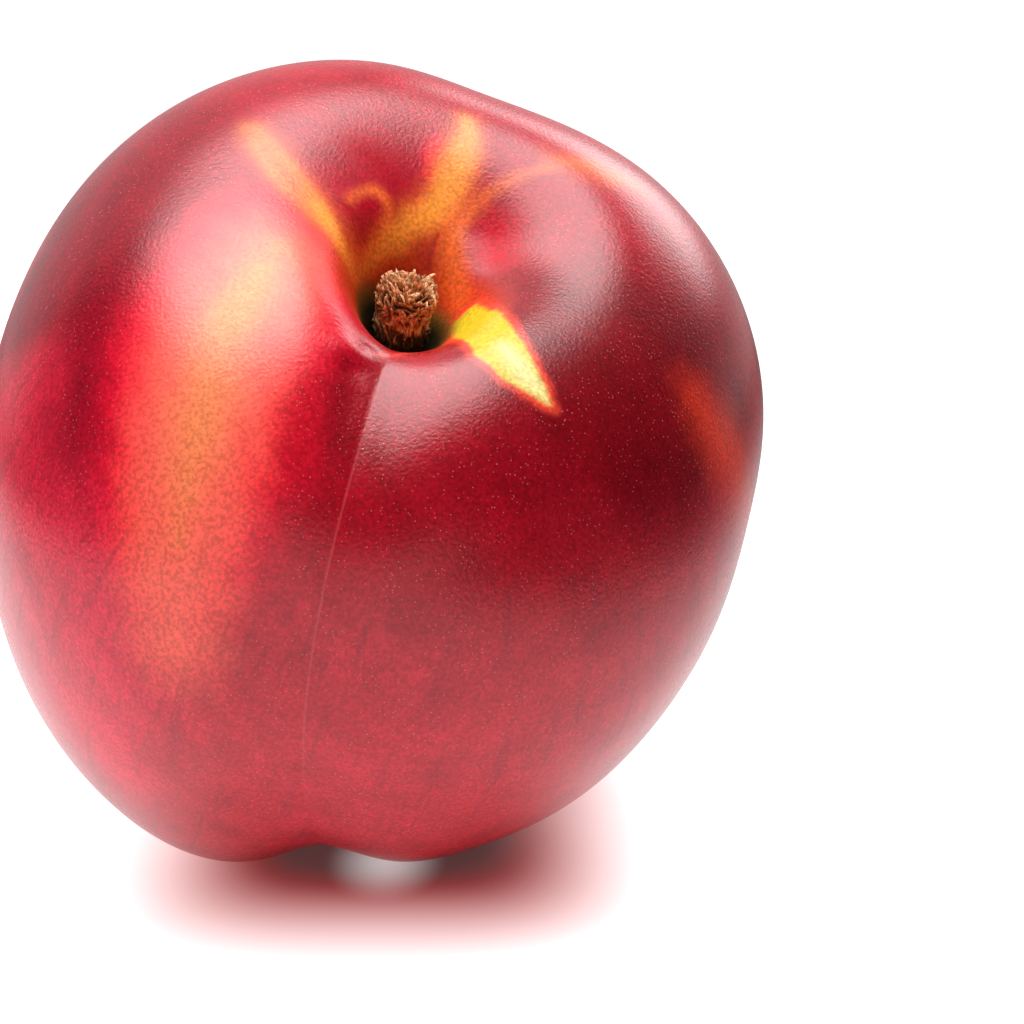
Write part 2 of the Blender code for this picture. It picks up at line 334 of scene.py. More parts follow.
def fruit_surface(polar, around):
    """Points of the skin in the fruit's own frame, with the stem toward +Z and the front toward -Y."""
    dx = np.sin(polar) * np.sin(around)
    dy = -np.sin(polar) * np.cos(around)
    dz = np.cos(polar)
    total = np.abs(dx / half_width(dx, LEFT, RIGHT)) ** SQUARENESS
    total += np.abs(dy / half_width(dy, FRONT, BACK)) ** SQUARENESS
    total += np.abs(dz / half_width(dz, DOWN, UP)) ** SQUARENESS
    reach = total ** (-1.0 / SQUARENESS)
    for swell_polar, swell_around, height, spread in SWELLS + WRINKLES:
        polar0 = math.radians(swell_polar)
        cosine = np.cos(polar) * math.cos(polar0)
        cosine += np.sin(polar) * math.sin(polar0) * np.cos(around - math.radians(swell_around))
        away = np.degrees(np.arccos(np.clip(cosine, -1.0, 1.0)))
        reach = reach + height * bell(away, 0.0, spread)
    widen = 1.0 + TAPER * reach * dz / TAPER_LENGTH
    x = reach * dx * widen
    y = reach * dy * widen
    z = reach * dz

    # Valley of the suture down the front, with its crease
    degrees = np.degrees(polar)
    radius = np.hypot(x, y)
    turn = around - suture_angle(polar)
    across = radius * np.sin(turn)
    depth = VALLEY_TOP * bell(degrees, 30.0, 22.0)
    depth += VALLEY_WAIST * bell(degrees, 90.0, 45.0)
    depth += VALLEY_LOW * bell(degrees, 134.0, 28.0)
    width = VALLEY_WIDTH + VALLEY_WIDENING * np.clip((degrees - 90.0) / 50.0, 0.0, 1.0)
    front = fade(radius * np.cos(turn))
    groove = depth * bell(across, 0.0, width) * front
    groove += CREASE_DEPTH * bell(across, 0.0, CREASE_WIDTH) * front * bell(degrees, 85.0, 70.0)

    # Faint valley down the back
    ridge = BACK_VALLEY * bell(degrees, 55.0, 30.0)
    groove += ridge * bell(radius * np.sin(around), 0.0, BACK_VALLEY_WIDTH) * fade(-radius * np.cos(around))
    shrink = 1.0 - groove / np.sqrt(x * x + y * y + z * z)
    x = x * shrink
    y = y * shrink
    z = z * shrink

    # Stem cavity and blossom dimple
    aside = x - FUNNEL_CENTRE[0]
    behind = y - FUNNEL_CENTRE[1]
    away = np.hypot(aside, behind)
    frontness = -behind / (away + FADE_WIDTH)
    leftness = -aside / (away + FADE_WIDTH)
    funnel_width = FUNNEL_WIDTH + FUNNEL_WIDER_FRONT * frontness + FUNNEL_WIDER_LEFT * leftness
    power = FUNNEL_POWER + FUNNEL_FULLER_FRONT * frontness + FUNNEL_FULLER_LEFT * leftness
    away = np.hypot(away, FUNNEL_ROUNDING) - FUNNEL_ROUNDING
    dip = FUNNEL_DEPTH * np.exp(-((away / funnel_width) ** power))
    pit = np.hypot((x - PIT_CENTRE[0]) / PIT_HALF_WIDTH, (y - PIT_CENTRE[1]) / PIT_HALF_LENGTH)
    dip += PIT_DEPTH * np.exp(-(pit**PIT_POWER))
    dip += LIP_DEPTH * bell(x, LIP_CENTRE[0], LIP_WIDTH) * bell(y, LIP_CENTRE[1], LIP_LENGTH)
    rise = DIMPLE_DEPTH * bell(np.hypot(x, y), 0.0, DIMPLE_WIDTH)
    z = z - np.where(polar < math.pi / 2, dip, -rise)
    return np.stack([x, y, z], axis=-1)


def sphere_angles(mesh):
    """Polar angle from +Z and angle round the axis from -Y of a unit sphere's points."""
    points = np.empty(len(mesh.vertices) * 3)
    mesh.vertices.foreach_get("co", points)
    points = points.reshape(-1, 3)
    polar = np.arccos(np.clip(points[:, 2], -1.0, 1.0))
    around = np.where(np.sin(polar) > 1e-4, np.arctan2(points[:, 0], -points[:, 1]), 0.0)
    return polar, around


def sphere_object(name, columns, rows, material):
    """A unit UV sphere as a smooth shaded object."""
    mesh = bpy.data.meshes.new(name)
    sphere = bmesh.new()
    bmesh.ops.create_uvsphere(sphere, u_segments=columns, v_segments=rows, radius=1.0)
    sphere.to_mesh(mesh)
    sphere.free()
    mesh.polygons.foreach_set("use_smooth", [True] * len(mesh.polygons))
    mesh.materials.append(material)
    obj = bpy.data.objects.new(name, mesh)
    bpy.context.scene.collection.objects.link(obj)
    return obj


def place_points(obj, points, where):
    """Put an object's points at new places, turned and shifted by a frame."""
    turned = points @ np.array(where.to_3x3()).T + np.array(where.translation)
    turned[:, 2] = np.maximum(turned[:, 2], 0.0)
    obj.data.vertices.foreach_set("co", turned.astype(np.float32).ravel())
    obj.data.update()
    return turned


def smooth_step(low, high, value):
    """Smooth step from 0 at low to 1 at high."""
    share = np.clip((value - low) / (high - low), 0.0, 1.0)
    return share * share * (3.0 - 2.0 * share)


def ripple(points, length, seed):
    """Smooth random field of about -1 to 1 with features of the given length."""
    random = np.random.default_rng(seed)
    total = np.zeros(len(points))
    for _ in range(14):
        direction = random.normal(size=3)
        direction *= random.uniform(0.6, 1.6) * 2.0 * math.pi / (length * np.linalg.norm(direction))
        total += np.sin(points @ direction + random.uniform(0.0, 2.0 * math.pi))
    return total / 3.8


def smooth_path(values):
    """Numbers on a smooth curve through the given ones, fourteen steps from each to the next."""
    ends = np.concatenate([values[:1], values, values[-1:]])
    steps = np.arange(14 * (len(values) - 1) + 1) / 14.0
    first = np.minimum(steps.astype(int), max(len(values) - 2, 0))
    t = steps - first
    before, start, end, after = (ends[np.minimum(first + k, len(ends) - 1)] for k in range(4))
    bend = 2.0 * before - 5.0 * start + 4.0 * end - after
    twist = 3.0 * (start - end) + after - before
    return 0.5 * (2.0 * start + (end - before) * t + bend * t**2 + twist * t**3)


def marking(points, path, soft, wobble=0.0):
    """How much a marking along a path covers each point: 1 inside, 0 beyond its soft edge in millimetres."""
    polar, around, width = np.array(path).T
    aside = polar * np.sin(np.radians(around))
    ahead = polar * np.cos(np.radians(around))
    aside = smooth_path(aside)
    ahead = smooth_path(ahead)
    width = np.maximum(smooth_path(width), 0.0) * 0.001
    line = fruit_surface(np.radians(np.hypot(aside, ahead)), np.arctan2(aside, ahead))
    nearest = np.full(len(points), 1.0)
    for place, half in zip(line, width):
        nearest = np.minimum(nearest, np.linalg.norm(points - place, axis=1) - half)
    if wobble:
        nearest = nearest + 0.5 * wobble * 0.001 * ripple(points, 0.0032, len(path))
    soft = soft * 0.001
    return 1.0 - smooth_step(-0.5 * soft, 0.5 * soft, nearest)


def outside(polar, around, corners):
    """Distance in degrees outside a patch with the given corners, negative inside, on a flat map round the stem."""
    u = np.degrees(polar) * np.sin(around)
    v = np.degrees(polar) * np.cos(around)
    edge_u = np.array([a * math.sin(math.radians(b)) for a, b in corners])
    edge_v = np.array([a * math.cos(math.radians(b)) for a, b in corners])
    nearest = np.full(len(u), 1e9)
    inside = np.zeros(len(u), bool)
    for k in range(len(corners)):
        u0, v0, u1, v1 = edge_u[k - 1], edge_v[k - 1], edge_u[k], edge_v[k]
        du, dv = u1 - u0, v1 - v0
        share = np.clip(((u - u0) * du + (v - v0) * dv) / (du * du + dv * dv), 0.0, 1.0)
        nearest = np.minimum(nearest, np.hypot(u - u0 - share * du, v - v0 - share * dv))
        crosses = (v0 > v) != (v1 > v)
        inside ^= crosses & (u < u0 + (v - v0) * du / (dv if dv else 1e-9))
    return np.where(inside, -nearest, nearest)


def tint(colors, cover, color):
    """Mix a colour in where it covers."""
    return colors + cover[:, None] * (np.array(color) - colors)


def skin_colors(points, polar, around):
    """Colour of the skin at each point, and how far it is yellow, in the pale wedge, or dull there."""
    degrees = np.degrees(polar)
    turn = np.degrees(around)
    turn = (turn + 180.0) % 360.0 - 180.0
    drift = 5.0 * ripple(points, 0.020, 3)
    colors = np.tile(np.array(CRIMSON), (len(points), 1))
    colors = tint(colors, marking(points, ((38.0, 66.0, 15.0),), 16.0), DEEP_CRIMSON)
    left = smooth_step(4.0, 26.0, -turn + drift) * smooth_step(-150.0, -110.0, turn)
    colors = tint(colors, left, LEFT_RED)
    low = smooth_step(48.0, 70.0, degrees + drift - 16.0 * smooth_step(-45.0, -70.0, turn))
    colors = tint(colors, low, LOWER_RED)
    colors = tint(colors, low * smooth_step(6.0, 24.0, -turn + drift) * smooth_step(125.0, 100.0, degrees), LOWER_LEFT)
    behind = smooth_step(85.0, 135.0, np.abs(turn) + drift)
    colors = tint(colors, behind, TOP_RED)
    top = smooth_step(40.0, 28.0, degrees) * smooth_step(60.0, 100.0, -turn)
    colors = tint(colors, top, TOP_RED)
    cloud = ripple(points, 0.006, 8)
    colors = colors * (1.0 + 0.07 * cloud + 0.05 * ripple(points, 0.0025, 9))[:, None]

    # Red and salmon round the yellow band on the left, with a tail down the lower left: partly the skin's own colour,
    # partly painted light and sheen from the left front
    wide = tuple((a, b, c + 6.6) for a, b, c in BAND_PATH)
    colors = tint(colors, 0.95 * marking(points, wide, 7.5, 0.6), VIVID_RED)
    wide = tuple((a, b, c + 3.6) for a, b, c in BAND_PATH)
    colors = tint(colors, 0.95 * marking(points, wide, 6.5, 0.6), SALMON_AND_SHEEN)
    colors = tint(colors, 0.85 * marking(points, BAND_TAIL, 8.0, 0.8), SALMON_AND_SHEEN)
    band = marking(points, BAND_PATH, 4.6, 0.4)
    colors = tint(colors, band, BAND_YELLOW)
    pale = marking(points, ((28.0, -45.0, 0.8), (36.0, -36.5, 1.6)), 3.0, 0.3)
    colors = tint(colors, pale, PALE_BAND)
    colors = tint(colors, 0.8 * marking(points, RED_PATCH, 3.2, 0.5), PATCH_RED)
    colors = tint(colors, 0.9 * marking(points, SUTURE_SHADE, 2.6, 0.3), SUTURE_CRIMSON)

    # Stem cavity
    near = 1000.0 * np.hypot(points[:, 0] - PIT_CENTRE[0], points[:, 1] - PIT_CENTRE[1])
    colors = tint(colors, 0.9 * marking(points, BACK_SHADE, 5.0, 0.3), CAVITY_RED)
    colors = tint(colors, 0.8 * smooth_step(9.5, 5.5, near + 0.1 * drift), CAVITY_ORANGE)
    colors = tint(colors, 0.9 * marking(points, BRIGHT_PATCH, 3.6, 0.3), PATCH_RED)
    colors = tint(colors, 0.9 * marking(points, VIVID_STRIP, 2.0, 0.3), VIVID_RED)
    halo = tuple((a, b, c + 0.7) for a, b, c in LEFT_STREAK)
    colors = tint(colors, 0.65 * marking(points, halo, 3.4, 0.3), ORANGE)
    colors = tint(colors, marking(points, LEFT_STREAK, 2.0, 0.3), YELLOW_ORANGE)
    tip = smooth_step(14.5, 20.0, degrees) * marking(points, LEFT_STREAK, 3.0)
    colors = tint(colors, 0.85 * tip, STREAK_TIP)
    colors = tint(colors, 0.8 * marking(points, BACK_BRANCH, 2.4, 0.3), ORANGE)
    halo = tuple((a, b, c + 0.7) for a, b, c in BACK_STREAK)
    colors = tint(colors, 0.65 * marking(points, halo, 3.0, 0.3), ORANGE)
    colors = tint(colors, marking(points, BACK_STREAK, 2.0, 0.3), YELLOW_ORANGE)
    colors = tint(colors, 0.55 * smooth_step(8.0, 5.0, near), CAVITY_ORANGE)
    colors = tint(colors, 0.9 * marking(points, DARK_SPOT, 1.6, 0.3), DARK_BLOB)
    colors = tint(colors, 0.8 * marking(points, BLOB_ARC, 1.8, 0.2), ORANGE)
    colors = tint(colors, 0.7 * marking(points, THIN_ARC, 2.2, 0.2), ORANGE)
    colors = tint(colors, 0.7 * marking(points, FOLD_LINE, 0.5), DARK_BLOB)

    # Scar at the blossom end
    wavy = 1.0 + 0.25 * ripple(points, 0.0016, 12)
    scar = smooth_step(1.25, 0.75, np.hypot(points[:, 0], points[:, 1]) / (SCAR_RADIUS * wavy))
    colors = tint(colors, 0.85 * scar * (points[:, 2] < 0.0), SCAR_BROWN)

    # Patches on the shoulders, and a patch of painted warm bounce light on the right rim
    colors = tint(colors, 0.8 * marking(points, SHOULDER, 5.0, 0.5), ORANGE)
    colors = tint(colors, 0.8 * marking(points, REDDER_TOP, 5.0, 0.5), LEFT_RED)
    colors = tint(colors, 0.8 * marking(points, RIM_LIGHT_PATCH, 7.0, 0.5), RIM_LIGHT_RED)

    # Bright wedge in front of the stalk on the right, and the thin orange lip
    away = outside(polar, around, WEDGE_CORNERS) + 0.15 * ripple(points, 0.0020, 6)
    colors = tint(colors, 0.85 * smooth_step(1.7, 0.3, away), WEDGE_HALO)
    wedge = smooth_step(0.40, -0.40, away)
    colors = tint(colors, wedge, WEDGE_YELLOW)
    colors = tint(colors, wedge * marking(points, WEDGE_LINE, 2.6), WEDGE_PALE)
    colors = tint(colors, 0.8 * marking(points, LIP_EDGE, 0.8), WEDGE_HALO)
    colors = tint(colors, 0.9 * smooth_step(5.0, 3.9, near), CAVITY_OLIVE)
    # Painted shade deep in the pit round the stalk, over the pit's olive
    colors = tint(colors, smooth_step(4.3, 3.2, near), PIT_SHADE)
    streaked = marking(points, LEFT_STREAK, 2.0)
    left_side = smooth_step(1.0, -4.0, 1000.0 * (points[:, 0] - PIT_CENTRE[0]))
    dull = smooth_step(9.5, 5.5, near - 3.0 * left_side)
    dull = np.maximum(dull, 0.9 * marking(points, BRIGHT_PATCH, 7.0))
    dull = np.maximum(dull, 0.9 * marking(points, BACK_SHADE, 7.0))
    dull = np.maximum(dull, 0.35 * wedge)
    return np.clip(colors, 0.0, 1.0), np.clip(band + 0.35 * streaked, 0.0, 1.0), wedge, dull


def store(mesh, name, values):
    """Keep a number, a vector or a colour for each point of a mesh."""
    kinds = {1: ("FLOAT", "value"), 3: ("FLOAT_VECTOR", "vector"), 4: ("FLOAT_COLOR", "color")}
    kind, field = kinds[1 if values.ndim == 1 else values.shape[1]]
    layer = mesh.attributes.new(name, kind, "POINT")
    layer.data.foreach_set(field, np.ascontiguousarray(values, dtype=np.float32).ravel())


def paint_skin(skin, points, polar, around):
    """Give the skin its colours and the fields that its material uses."""
    colors, yellow, wedge, dull = skin_colors(points, polar, around)
    mesh = skin.data
    store(mesh, "pigment", np.concatenate([colors, np.ones((len(colors), 1))], axis=1))
    degrees = np.degrees(polar)
    front = np.cos(around - suture_angle(polar)) > 0.2
    across = np.hypot(points[:, 0], points[:, 1]) * np.sin(around - suture_angle(polar))
    seam = np.where(front, across, 1.0)
    store(mesh, "seam", seam * 1000.0)
    store(mesh, "seam_share", smooth_step(26.0, 34.0, degrees) * smooth_step(100.0, 70.0, degrees))
    store(mesh, "pale_specks", (1.0 - yellow) * (1.0 - wedge) * (1.0 - 0.7 * dull))
    store(mesh, "dark_specks", yellow * (1.0 - wedge))
    salmon = smooth_step(0.02, 0.09, colors[:, 1])
    store(mesh, "streaky", smooth_step(45.0, 62.0, degrees) * (1.0 - yellow) * (1.0 - 0.7 * salmon))
    store(mesh, "dull", dull)
    meridian = np.stack([np.sin(around) * 34.0, np.cos(around) * 34.0, polar * 3.2], axis=-1)
    store(mesh, "meridian", meridian)


class Shading:
    """Short ways to add and join the nodes of a material."""

    def __init__(self, name):
        self.material = bpy.data.materials.new(name)
        self.material.use_nodes = True
        self.nodes = self.material.node_tree.nodes
        self.links = self.material.node_tree.links
        self.shader = self.nodes["Principled BSDF"]

    def put(self, value, socket):
        """Set a socket to a number or a colour, or link another socket to it."""
        if isinstance(value, bpy.types.NodeSocket):
            self.links.new(value, socket)
        else:
            socket.default_value = value

    def field(self, name, output="Fac"):
        """A field that the mesh keeps for each point."""
        node = self.nodes.new("ShaderNodeAttribute")
        node.attribute_name = name
        return node.outputs[output]

    def place(self):
        """Position on the object, in metres."""
        return self.nodes.new("ShaderNodeTexCoord").outputs["Object"]

    def math(self, operation, first, second=0.0):
        """One step of arithmetic."""
        node = self.nodes.new("ShaderNodeMath")
        node.operation = operation
        self.put(first, node.inputs[0])
        self.put(second, node.inputs[1])
        return node.outputs[0]

    def vector(self, operation, first, second):
        """One step of arithmetic on vectors."""
        node = self.nodes.new("ShaderNodeVectorMath")
        node.operation = operation
        self.put(first, node.inputs[0])
        self.put(second, node.inputs[1])
        return node.outputs["Vector"]

    def length(self, value):
        """Length of a vector."""
        node = self.nodes.new("ShaderNodeVectorMath")
        node.operation = "LENGTH"
        self.put(value, node.inputs[0])
        return node.outputs["Value"]

    def ramp(self, value, low, high, bottom=0.0, top=1.0):
        """Smooth step of a value from bottom to top."""
        node = self.nodes.new("ShaderNodeMapRange")
        node.interpolation_type = "SMOOTHSTEP"
        self.put(value, node.inputs["Value"])
        for name, number in (("From Min", low), ("From Max", high), ("To Min", bottom), ("To Max", top)):
            self.put(number, node.inputs[name])
        return node.outputs["Result"]

    def noise(self, where, scale, detail=2.0, roughness=0.5):
        """Smooth noise of about 0 to 1."""
        node = self.nodes.new("ShaderNodeTexNoise")
        self.put(where, node.inputs["Vector"])
        self.put(scale, node.inputs["Scale"])
        self.put(detail, node.inputs["Detail"])
        self.put(roughness, node.inputs["Roughness"])
        return node.outputs["Fac"]

    def specks(self, where, spacing, inner, outer):
        """Small round dots, one to a cell, of differing size."""
        node = self.nodes.new("ShaderNodeTexVoronoi")
        self.put(where, node.inputs["Vector"])
        self.put(1.0 / spacing, node.inputs["Scale"])
        return self.ramp(node.outputs["Distance"], outer, inner)

    def mix(self, share, first, second, kind="MIX"):
        """Mix two colours."""
        node = self.nodes.new("ShaderNodeMix")
        node.data_type = "RGBA"
        node.blend_type = kind
        self.put(share, node.inputs[0])
        self.put(first, node.inputs[6])
        self.put(second, node.inputs[7])
        return node.outputs[2]

    def bump(self, height, distance, strength):
        """Fine relief of the surface."""
        node = self.nodes.new("ShaderNodeBump")
        self.put(height, node.inputs["Height"])
        self.put(distance, node.inputs["Distance"])
        self.put(strength, node.inputs["Strength"])
        self.links.new(node.outputs["Normal"], self.shader.inputs["Normal"])


def skin_material():
    """Fruit skin: pigment, fine streaks toward the blossom end, grain, specks, and the hairline of the suture."""
    look = Shading("nectarine_skin")
    where = look.place()
    color = look.field("pigment", "Color")
    streaks = look.ramp(look.noise(look.field("meridian", "Vector"), 1.0, 3.0, 0.6), 0.50, 0.68)
    share = look.math("MULTIPLY", streaks, look.math("MULTIPLY", look.field("streaky"), 0.28))
    color = look.mix(share, color, STREAK_SHADE)
    grain = look.ramp(look.noise(where, 1.0 / GRAIN_SPACING, 2.0), 0.3, 0.7, 0.80, 1.20)
    color = look.mix(1.0, color, grain, "MULTIPLY")
    pale = look.specks(where, PALE_SPECK_SPACING, 0.05, 0.20)
    patchy = look.ramp(look.noise(where, 260.0, 1.0), 0.35, 0.65, 0.35, 1.0)
    share = look.math("MULTIPLY", pale, look.math("MULTIPLY", look.field("pale_specks"), patchy))
    color = look.mix(look.math("MULTIPLY", share, 0.45), color, PALE_SPECK)
    dark = look.specks(where, DARK_SPECK_SPACING, 0.14, 0.30)
    share = look.math("MULTIPLY", dark, look.field("dark_specks"))
    color = look.mix(look.math("MULTIPLY", share, 0.45), color, DARK_SPECK)
    seam = look.math("ABSOLUTE", look.math("SUBTRACT", look.field("seam"), 0.10))
    line = look.math("MULTIPLY", look.ramp(seam, 0.16, 0.04), look.field("seam_share"))
    color = look.mix(look.math("MULTIPLY", line, 0.30), color, HAIRLINE)
    look.links.new(color, look.shader.inputs["Base Color"])
    rough = look.ramp(look.field("dull"), 0.0, 1.0, SKIN_ROUGHNESS, CAVITY_ROUGHNESS)
    look.links.new(rough, look.shader.inputs["Roughness"])
    gloss = look.ramp(look.field("dull"), 0.0, 1.0, SKIN_GLOSS, CAVITY_GLOSS)
    look.shader.inputs["Specular IOR Level"].default_value = SKIN_GLOSS
    look.links.new(gloss, look.shader.inputs["Specular IOR Level"])
    look.bump(look.noise(where, 1.0 / BUMP_SPACING, 2.0), BUMP_HEIGHT, 0.6)
    return look.material


def wood_material():
    """Dry torn stalk: its own colours, darker and lighter along fine fibres."""
    look = Shading("stem_wood")
    color = look.field("pigment", "Color")
    strands = look.noise(look.field("fibre", "Vector"), 1.0, 3.0, 0.6)
    color = look.mix(1.0, color, look.ramp(strands, 0.32, 0.68, 0.45, 1.55), "MULTIPLY")
    look.links.new(color, look.shader.inputs["Base Color"])
    look.shader.inputs["Roughness"].default_value = 0.75
    look.shader.inputs["Specular IOR Level"].default_value = 0.25
    look.bump(strands, 0.00008, 0.9)
    return look.material


def make_fruit():
    """The skin, laid down as the CAD part lies, and the frame of the fruit's own axes."""
    skin = sphere_object("skin", COLUMNS, ROWS, skin_material())
    polar, around = sphere_angles(skin.data)
    polar = polar - ROW_CROWDING * np.sin(polar)
    around = around - COLUMN_CROWDING * np.sin(around)
    around = around + suture_angle(polar) * np.cos(around / 2.0) ** 2
    points = fruit_surface(polar, around)
    turn = Matrix.Rotation(LEAN, 4, "Y") @ Matrix.Rotation(TILT, 4, "X")
    laid = points @ np.array(turn.to_3x3()).T
    low = laid.min(axis=0)
    high = laid.max(axis=0)
    shift = Vector((-(low[0] + high[0]) / 2.0, -(low[1] + high[1]) / 2.0, -low[2] - FLAT_CUT))
    where = Matrix.Translation(shift) @ turn
    place_points(skin, points, where)
    paint_skin(skin, points, polar, around)
    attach(skin, "root")
    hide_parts("nectarine_fruit")
    return where


def stalk_colors(height, relief):
    """Colours of the stalk at a height from 0 to 1, pale on raised fibres with painted shade between them, and olive
    with painted shade at the foot.
    """
    colors = np.tile(np.array(FIBRE_BROWN), (len(height), 1))
    colors = tint(colors, smooth_step(0.15, 0.9, relief), FIBRE_PALE)
    # Painted shade in the grooves between the fibres
    colors = tint(colors, smooth_step(-0.1, -0.9, relief), FIBRE_GROOVE_SHADE)
    colors = tint(colors, smooth_step(0.62, 0.40, height + 0.10 * relief), FOOT_OLIVE)
    # Painted shade darkens the foot, where it stands in the pit
    return tint(colors, smooth_step(0.42, 0.16, height), FOOT_SHADE)


def make_stub(where):
    """The stalk stub: ridged along its length, with a ragged torn top and an olive foot darkened by painted shade."""
    material = wood_material()
    stub = sphere_object("stalk", STUB_COLUMNS, STUB_ROWS, material)
    polar, around = sphere_angles(stub.data)
    step = polar / math.pi
    share = np.interp(step, (0.0, 0.34, 0.40, 0.85, 0.90, 1.0), (0.0, 0.86, 1.0, 1.0, 0.88, 0.0))
    height = np.interp(step, (0.0, 0.34, 0.40, 0.85, 0.90, 1.0), (1.0, 0.99, 0.94, 0.05, 0.0, 0.0))
    profile = np.interp(height, (0.0, 0.25, 0.45, 0.60, 0.85, 1.0), (1.02, 1.04, 0.96, 0.90, 0.99, 0.93))
    radius = share * profile * STUB_RADIUS
    points = np.stack([radius * np.sin(around), -radius * np.cos(around), STUB_LENGTH * height], axis=-1)

    # Fibres run up the side, lean over and tangle at the top
    stretched = points * (1.0, 1.0, 0.22)
    sway = 0.0005 * ripple(points, 0.0030, 21)
    stretched = stretched + sway[:, None] * (1.0, -1.0, 0.0)
    fibres = 1.0 - 2.0 * np.abs(ripple(stretched, 0.0011, 22)).clip(0.0, 1.0)
    fibres += 0.5 - 1.0 * np.abs(ripple(stretched, 0.0005, 23)).clip(0.0, 1.0)
    warped = points + 0.0006 * np.stack([ripple(points, 0.0022, 24 + k) for k in range(3)], axis=-1)
    tangle = 1.0 - 2.0 * np.abs(ripple(warped, 0.0016, 27)).clip(0.0, 1.0)
    tangle += 0.5 - 1.0 * np.abs(ripple(warped, 0.0007, 28)).clip(0.0, 1.0)
    top = smooth_step(0.74, 0.96, height)
    relief = fibres + (tangle - fibres) * top
    out = np.stack([np.sin(around) * share, -np.cos(around) * share, 1.6 * top], axis=-1)
    out = out / np.maximum(np.linalg.norm(out, axis=1), 0.3)[:, None]
    lift = (FIBRE_RELIEF + (TORN_RELIEF - FIBRE_RELIEF) * top) * smooth_step(0.0, 0.15, height)
    points = points + out * (lift * (relief - 0.35))[:, None]
    place_points(stub, points, where)
    colors = stalk_colors(height, relief - 0.25)
    store(stub.data, "pigment", np.concatenate([colors, np.ones((len(colors), 1))], axis=1))
    store(stub.data, "fibre", np.stack([points[:, 0], points[:, 1], points[:, 2] * 0.15], axis=-1) * 5200.0)
    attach(stub, "root")
    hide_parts("stem_stub")
    make_curls(where, material)


def make_curls(where, material):
    """Loose fibres that curl up from the torn top, all in one piece."""
    mesh = bpy.data.meshes.new("stalk_curls")
    rings = 22
    sides = 8
    corners = []
    faces = []
    shades = []
    for k in range(CURL_COUNT):
        angle = 2.4 * k + 0.6
        start = STUB_RADIUS * (0.35 + 0.55 * ((k * 0.618) % 1.0))
        length = CURL_LENGTH * (0.55 + 0.45 * math.sin(1.7 * k + 0.5) ** 2)
        bend = 2.6 + 1.5 * math.sin(2.1 * k)
        heading = angle + 1.4 * math.cos(1.3 * k)
        first = len(corners)
        spot = Vector((start * math.sin(angle), -start * math.cos(angle), STUB_LENGTH * 0.97))
        for ring in range(rings):
            along = ring / (rings - 1)
            pitch = 1.25 - bend * along
            ahead = Vector((math.sin(heading) * math.cos(pitch), -math.cos(heading) * math.cos(pitch), math.sin(pitch)))
            side = Vector((math.cos(heading), math.sin(heading), 0.0))
            over = ahead.cross(side)
            thick = CURL_RADIUS * (1.0 - 0.75 * along) * (1.5 if k % 3 == 0 else 1.0)
            for corner in range(sides):
                turn = 2.0 * math.pi * corner / sides
                corners.append(spot + side * (thick * 1.5 * math.cos(turn)) + over * (thick * math.sin(turn)))
                shades.append(0.2 + 0.8 * along if k % 2 else 0.9 - 0.3 * along)
            spot = spot + ahead * (length / rings)
        for ring in range(rings - 1):
            for corner in range(sides):
                a = first + ring * sides + corner
                b = first + ring * sides + (corner + 1) % sides
                faces.append((a, b, b + sides, a + sides))
        faces.append(tuple(first + corner for corner in reversed(range(sides))))
        faces.append(tuple(first + (rings - 1) * sides + corner for corner in range(sides)))
    mesh.from_pydata([tuple(corner) for corner in corners], [], faces)
    mesh.polygons.foreach_set("use_smooth", [True] * len(mesh.polygons))
    mesh.materials.append(material)
    curls = bpy.data.objects.new("stalk_curls", mesh)
    bpy.context.scene.collection.objects.link(curls)
    points = np.array([tuple(corner) for corner in corners])
    place_points(curls, points, where)
    colors = stalk_colors(np.ones(len(points)), 1.2 * np.array(shades) - 0.3)
    store(mesh, "pigment", np.concatenate([colors, np.ones((len(colors), 1))], axis=1))
    store(mesh, "fibre", points * 5200.0)
    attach(curls, "root")
    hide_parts("stem_stub")


def stage_plane(name, size, location, turn, material):
    """A flat piece of the studio."""
    mesh = bpy.data.meshes.new(name)
    plane = bmesh.new()
    place = Matrix.Translation(location) @ turn @ Matrix.Diagonal((size[0], size[1], 1.0, 1.0))
    bmesh.ops.create_grid(plane, x_segments=1, y_segments=1, size=0.5, matrix=place)
    plane.to_mesh(mesh)
    plane.free()
    mesh.materials.append(material)
    obj = bpy.data.objects.new(name, mesh)
    bpy.context.scene.collection.objects.link(obj)
    return obj


